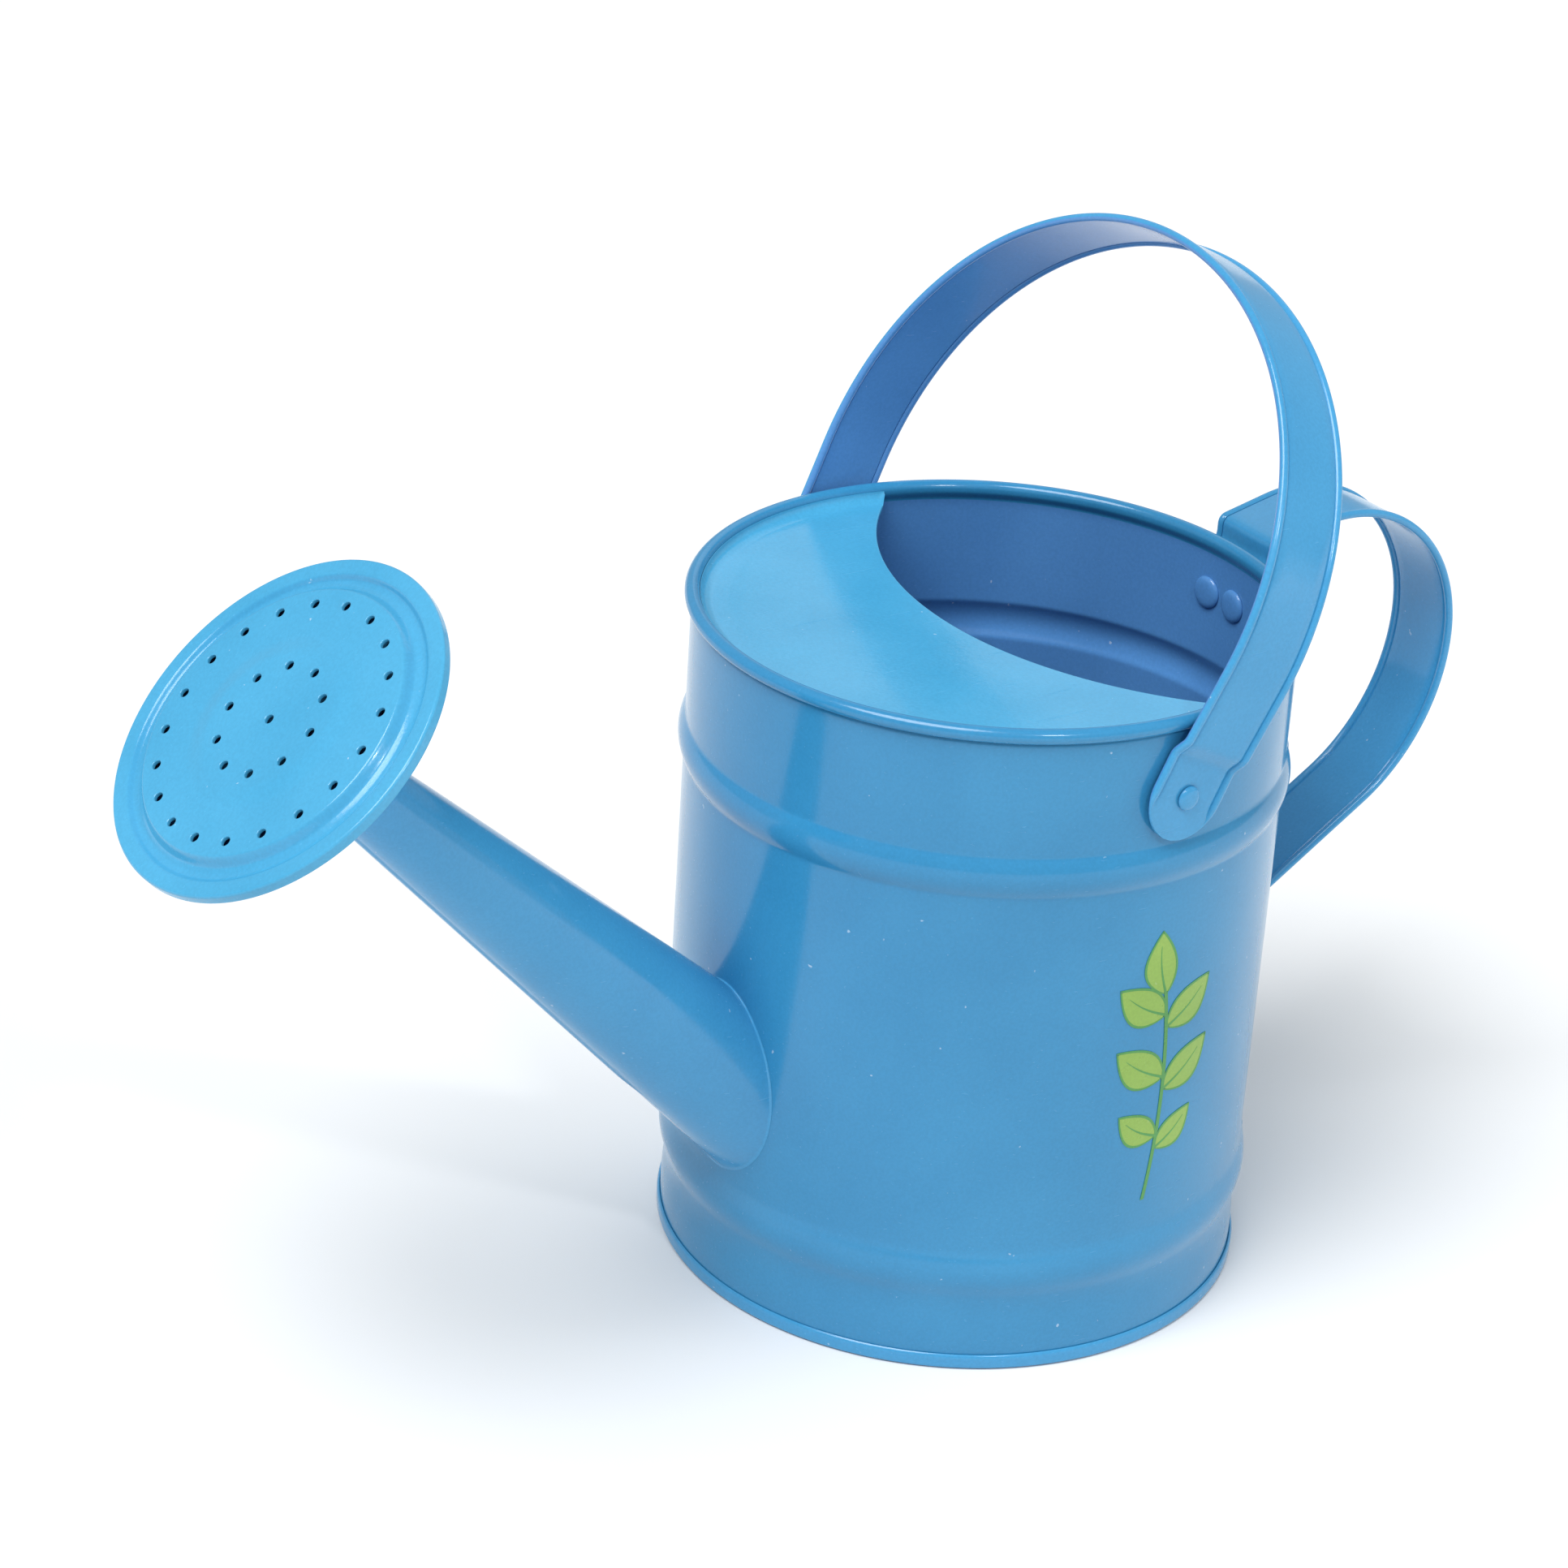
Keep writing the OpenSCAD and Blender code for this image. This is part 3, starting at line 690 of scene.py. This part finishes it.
def path_points(steps, spacing=0.9):
    """(x, z, heading) along a plane path; steps are (length, 0) or (radius, degrees)."""
    x = z = heading = 0.0
    pts = [(x, z, heading)]
    for size, turn in steps:
        if turn == 0:
            n = max(2, int(size / (spacing * 3)))
            for _ in range(n):
                x += math.sin(heading) * size / n
                z += math.cos(heading) * size / n
                pts.append((x, z, heading))
        else:
            length = size * abs(math.radians(turn))
            n = max(6, int(length / spacing))
            for _ in range(n):
                da = math.radians(turn) / n
                chord = 2 * size * math.sin(abs(da) / 2)
                mid = heading + da / 2
                x += math.sin(mid) * chord
                z += math.cos(mid) * chord
                heading += da
                pts.append((x, z, heading))
    return pts


def strap(steps, start, place):
    """Sweeps the strap; both ends have a half-round tab on which the rolled edges die out."""
    pts = path_points(steps)
    tab_r = STRAP_W / 2
    rows = []

    def row(x, z, heading, half_w, roll):
        out = Vector((math.cos(heading), 0, -math.sin(heading)))
        return [place @ (Vector((x, 0, z)) + Vector((0, across, 0)) + out * off)
                for across, off in strap_outline(half_w, roll)]

    def tab_rows(x, z, heading, sign):
        """Rows of the half-round end, from its tip inwards."""
        made = []
        for k in range(1, 15):
            a = math.pi / 2 * k / 15
            back = tab_r * math.cos(a)
            roll = STRAP_T / 2 + (ROLL_R - STRAP_T / 2) * smooth_step(1 - back / 5)
            made.append(row(x - sign * math.sin(heading) * back, z - sign * math.cos(heading) * back, heading,
                            max(tab_r * math.sin(a), 1.5), roll))
        return made

    x0, z0 = start
    rows += tab_rows(x0, z0, 0.0, 1)
    for x, z, heading in pts:
        rows.append(row(x0 + x, z0 + z, heading, tab_r, ROLL_R))
    x, z, heading = pts[-1]
    rows += tab_rows(x0 + x, z0 + z, heading, -1)[::-1]
    cols = len(rows[0])
    faces = grid_faces(len(rows), cols, close_cols=True)
    faces.append(tuple(range(cols))[::-1])
    faces.append(tuple((len(rows) - 1) * cols + k for k in range(cols)))
    return [p for r in rows for p in r], faces


# ---------------------------------------------------------------- bail

FLARE, ARCH_R, TAB, STEP_BEND, STEP_ANGLE, STEP_OUT = 3.9, 67.9, 7.0, 3.0, 35.0, 2.1
TAB_X = WALL_R + 0.35 + ROLL_R
flare = math.radians(FLARE)
step_x = 2 * STEP_BEND * (1 - math.cos(math.radians(STEP_ANGLE))) - STEP_BEND * (1 - math.cos(flare))
STEP_LINE = (STEP_OUT - step_x) / math.sin(math.radians(STEP_ANGLE))
LEG = (ARCH_R * math.cos(flare) - TAB_X - STEP_OUT) / math.sin(flare)
bail_steps = [(TAB, 0), (STEP_BEND, STEP_ANGLE), (STEP_LINE, 0), (STEP_BEND, FLARE - STEP_ANGLE), (LEG, 0),
              (ARCH_R, -180 - 2 * FLARE),
              (LEG, 0), (STEP_BEND, FLARE - STEP_ANGLE), (STEP_LINE, 0), (STEP_BEND, STEP_ANGLE), (TAB, 0)]
bail_place = (Matrix.Translation((0, 0, PIVOT_Z)) @ Matrix.Rotation(-LEAN, 4, "Y")
              @ Matrix.Rotation(math.pi / 2, 4, "Z"))
bail = make_object("bail_strap", *strap(bail_steps, (TAB_X, 0), bail_place), BLUE, sharp=50,
                   extra_materials=(INSIDE_SHADE_BLUE,))
pivot = Vector((0, 0, PIVOT_Z)) * MM
# the bail's inner face takes the purple-shifted enamel copy: painted shade
second_material(bail, lambda face: face.normal.dot(face.center - pivot) < 0)
cut_round_holes(bail, PIVOT_PLACES, PIVOT_SHANK + 0.05, 6)


# ---------------------------------------------------------------- rear handle

STEP, BEND, RISE_BEND, RISE_LINE, SLOPE_LINE = 4.75, 4.0, 1.5, 1.63, 11.13
HANDLE_X = WALL_R + 0.05 + STRAP_T / 2
TOP_R, LOW_R, RISE, SLOPE = 36.7, 42.1, 11.5, 30.8
run_x = STEP - 2 * BEND * (1 - math.cos(math.radians(40)))
rise, slope = math.radians(RISE), math.radians(SLOPE)
loop_x = HANDLE_X + STEP + RISE_BEND * (1 - math.sin(rise)) + SLOPE_LINE * math.cos(rise)
loop_end = loop_x + TOP_R * (1 + math.sin(rise)) - LOW_R * (1 - math.sin(slope))
FOOT_LINE = (loop_end - HANDLE_X - BEND * (1 - math.sin(slope))) / math.cos(slope)
handle_steps = [(4.5, 0), (BEND, 40), (run_x / math.sin(math.radians(40)), 0), (BEND, -40),
                (RISE_LINE, 0), (RISE_BEND, 90 - RISE), (SLOPE_LINE, 0), (TOP_R, 90 + RISE),
                (LOW_R, 90 - SLOPE), (FOOT_LINE, 0), (BEND, SLOPE - 90), (8, 0)]
handle = make_object("rear_strap", *strap(handle_steps, (HANDLE_X, UPPER_Z - 1.2),
                                          Matrix.Rotation(math.pi, 4, "Z")), BLUE, sharp=50)
cut_round_holes(handle, REAR_PLACES, REAR_SHANK + 0.05, 5)


# ---------------------------------------------------------------- rivets

def dome_profile(r, h, base):
    """Pan head: rounded edge, nearly flat top."""
    shape = [(0, 1), (0.35, 0.985), (0.6, 0.92), (0.78, 0.8), (0.9, 0.6), (0.97, 0.36), (1, 0.14), (0.985, 0)]
    return [(r * across, base + h * up) for across, up in shape]


def rivet(name, place, shank, head, head_h, head_base, tail, tail_h, tail_base):
    profile = dome_profile(head, head_h, head_base)
    profile += [(shank, head_base), (shank, tail_base)]
    profile += [(r, 2 * tail_base - z) for r, z in dome_profile(tail, tail_h, tail_base)[::-1]]
    verts, faces = lathe(profile, 48, place, closed=False)
    obj = make_object(name, verts, faces, BLUE, sharp=50, extra_materials=(INSIDE_SHADE_BLUE,))
    # rivet parts inside the can take the purple-shifted enamel copy: painted shade
    second_material(obj, lambda face: face.center.xy.length < (WALL_R - SHEET) * MM)
    return obj


rivets = []
head_z = 0.35 + ROLL_R + STRAP_T / 2 + 0.3
for side, node in ((1, "bail_rivet_left"), (-1, "bail_rivet_right")):
    r = rivet(f"pivot_{'left' if side > 0 else 'right'}", wall_place(90 * side, PIVOT_Z), PIVOT_SHANK,
              2.6, 0.95, head_z, 2.8, 0.85, -SHEET - 0.1)
    rivets.append((r, node))
for level, z in (("upper", UPPER_Z), ("lower", LOWER_Z)):
    for side, word in ((1, "left"), (-1, "right")):
        r = rivet(f"{level}_pin_{word}", wall_place(180 - side * RIVET_HALF_ANGLE, z), REAR_SHANK,
                  2.55, 0.75, STRAP_T + 0.52, 3.65, 1.05, -SHEET - 0.15)
        rivets.append((r, f"{level}_rivet_{word}"))


# ---------------------------------------------------------------- decal

DECAL_ANGLE, DECAL_Z = math.radians(93), 68.0


def on_can(x, y, lift):
    """Wraps a flat print point onto the wall; x runs to the right as seen from outside."""
    r = WALL_R + 0.05 + lift
    a = DECAL_ANGLE - x / WALL_R
    return Vector((r * math.cos(a), r * math.sin(a), DECAL_Z + y))


def stem_x(y):
    return 150 - math.sqrt(150 * 150 - (y + 6) ** 2)


def leaf_points(base, turn, length, width, n=22):
    """Left and right edges of a leaf from base to tip, with a slightly curved tip."""
    left, right = [], []
    ca, sa = math.cos(math.radians(turn)), math.sin(math.radians(turn))
    for i in range(n + 1):
        t = i / n
        half = width / 2 * math.sin(math.pi * t ** 0.85) ** 0.9
        bend = 0.9 * math.sin(math.pi * t) * (1 if turn < 0 else -1)
        for edge, s in ((left, -1), (right, 1)):
            u, v = s * half + bend, length * t
            edge.append((base[0] + u * ca - v * sa, base[1] + u * sa + v * ca))
    return left, right


def decal():
    verts, faces, mats = [], [], []

    def strip(a, b, lift, mat):
        """Film between two lines, with a thin edge down to the paint."""
        first, n = len(verts), len(a)
        for p, q in zip(a, b):
            mid = ((p[0] + q[0]) / 2, (p[1] + q[1]) / 2)
            verts.extend([on_can(*p, 0), on_can(*p, lift), on_can(*mid, lift)])
            verts.extend([on_can(*q, lift), on_can(*q, 0)])
        for i in range(n - 1):
            for j in range(5):
                row, k = first + i * 5, (j + 1) % 5
                faces.append((row + j, row + k, row + 5 + k, row + 5 + j))
                mats.append(mat)
        faces.append(tuple(first + j for j in range(5)))
        faces.append(tuple(first + (n - 1) * 5 + j for j in range(5))[::-1])
        mats.extend([mat, mat])

    def shrink(line, centre, by):
        out = []
        for p, c in zip(line, centre):
            d = math.hypot(p[0] - c[0], p[1] - c[1])
            k = max(0.0, (d - by) / d) if d > 1e-6 else 0
            out.append((c[0] + (p[0] - c[0]) * k, c[1] + (p[1] - c[1]) * k))
        return out

    def leaf(base, turn, length, width):
        left, right = leaf_points(base, turn, length, width)
        mid = [((p[0] + q[0]) / 2, (p[1] + q[1]) / 2) for p, q in zip(left, right)]
        lin, rin = shrink(left, mid, 0.55), shrink(right, mid, 0.55)
        cut = slice(1, -1)
        strip(lin[cut], rin[cut], 0.05, 0)
        strip(left, lin, 0.08, 1)
        strip(rin, right, 0.08, 1)
        vein = mid[:18]
        half = [0.28 * (1 - i / 17) + 0.05 for i in range(18)]
        ca, sa = math.cos(math.radians(turn)), math.sin(math.radians(turn))
        strip([(p[0] - h * ca, p[1] - h * sa) for p, h in zip(vein, half)],
              [(p[0] + h * ca, p[1] + h * sa) for p, h in zip(vein, half)], 0.08, 1)

    ys = np.linspace(-32, 17.5, 40)
    strip([(stem_x(y) - 0.45, y) for y in ys], [(stem_x(y) + 0.45, y) for y in ys], 0.09, 1)
    leaf((stem_x(17), 17), -9, 15.6, 8.6)
    for y, length, width in ((9, 15.0, 9.0), (-6, 15.5, 9.2), (-20, 12.5, 7.6)):
        leaf((stem_x(y), y), 52, length, width)
        leaf((stem_x(y + 3), y + 3), -56, length, width)
    return verts, faces, mats


verts, faces, mats = decal()
print_obj = make_object("leaf_print", verts, faces, LEAF_GREEN, sharp=50, extra_materials=(LINE_GREEN,),
                        face_mats=mats)


# ---------------------------------------------------------------- ride, replace

for obj, body, nodes, slot in (
        (wall, "can", ("body_shell",), "can_paint"),
        (foot, "can", ("base_plate",), "can_paint"),
        (cover, "can", ("top_cover",), "cover_paint"),
        (spout_obj, "can", ("spout_tube",), "can_paint"),
        (rose_face, "can", ("rose_face",), "cover_paint"),
        (rose_back, "can", ("rose_back",), "can_paint"),
        (bail, "bail", ("bail_handle",), "can_paint"),
        (handle, "can", ("rear_handle",), "can_paint"),
        (print_obj, "can", ("leaf_decal",), "decal_print"),
        *((r, "can", (node,), "can_paint") for r, node in rivets)):
    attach(obj, body)
    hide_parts(*nodes)


# ---------------------------------------------------------------- floor, light, camera

def floor():
    """Plain pale ground, a hair below the foot."""
    mat = bpy.data.materials.new("floor")
    mat.use_nodes = True
    shader = mat.node_tree.nodes["Principled BSDF"]
    shader.inputs["Base Color"].default_value = (0.84, 0.84, 0.84, 1)
    shader.inputs["Roughness"].default_value = 0.75
    mesh = bpy.data.meshes.new("floor")
    half, z = 6.0, -0.0002
    corners = [(-half, -half, z), (half, -half, z), (half, half, z), (-half, half, z)]
    mesh.from_pydata(corners, [], [(0, 1, 2, 3)])
    obj = bpy.data.objects.new("floor", mesh)
    mesh.materials.append(mat)
    bpy.context.scene.collection.objects.link(obj)


def sun(name, direction, width, strength):
    """Far soft light from the given direction; width is its angular size in degrees."""
    data = bpy.data.lights.new(name, "SUN")
    data.angle, data.energy = math.radians(width), strength
    obj = bpy.data.objects.new(name, data)
    obj.rotation_mode = "QUATERNION"
    obj.rotation_quaternion = (-Vector(direction)).to_track_quat("-Z", "Y")
    bpy.context.scene.collection.objects.link(obj)


def area_light(name, place, target, size, energy, glossy=True):
    """Soft panel; with glossy off it lights the can but is not mirrored in it."""
    data = bpy.data.lights.new(name, "AREA")
    data.shape, data.size, data.size_y = "RECTANGLE", *size
    data.energy = energy
    obj = bpy.data.objects.new(name, data)
    obj.visible_glossy = glossy
    obj.location = place
    obj.rotation_mode = "QUATERNION"
    obj.rotation_quaternion = (Vector(target) - Vector(place)).to_track_quat("-Z", "Y")
    bpy.context.scene.collection.objects.link(obj)


def camera():
    """Eye point and aim as worked out for the photograph's view: azimuth, elevation and roll in degrees."""
    az, el, roll = math.radians(143.407), math.radians(26.287), math.radians(3.712)
    back = Vector((math.sin(az) * math.cos(el), -math.cos(az) * math.cos(el), math.sin(el)))
    right = Vector((math.cos(az), math.sin(az), 0))
    up = back.cross(right)
    right, up = (right * math.cos(roll) + up * math.sin(roll), up * math.cos(roll) - right * math.sin(roll))
    data = bpy.data.cameras.new("camera")
    data.sensor_width = 36
    data.lens = 36 * 5378.4 / 1932
    data.clip_start, data.clip_end = 0.05, 50
    obj = bpy.data.objects.new("camera", data)
    m = Matrix((right, up, back)).transposed().to_4x4()
    m.translation = Vector((529.84, 643.85, 513.84)) * MM
    obj.matrix_world = m
    bpy.context.scene.collection.objects.link(obj)
    bpy.context.scene.camera = obj


floor()
sun("key", (0.9, 0.22, 1.6), 38, 2.8)
area_light("fill", (-1.6, 1.15, 0.8), (0, 0, 0.1), (1.2, 1.0), 10, glossy=False)
area_light("back", (-1.2, -1.0, 1.2), (0, 0, 0.1), (1.0, 1.0), 1.3)
area_light("window_front", (0.24, 1.11, 1.13), (0, 0, 0.1), (0.16, 0.07), 3.2)
world = bpy.data.worlds.new("studio")
world.use_nodes = True
world.node_tree.nodes["Background"].inputs[0].default_value = (0.9, 0.96, 1.0, 1)
world.node_tree.nodes["Background"].inputs[1].default_value = 0.45
bpy.context.scene.world = world
bpy.context.scene.view_settings.view_transform = "Standard"
camera()
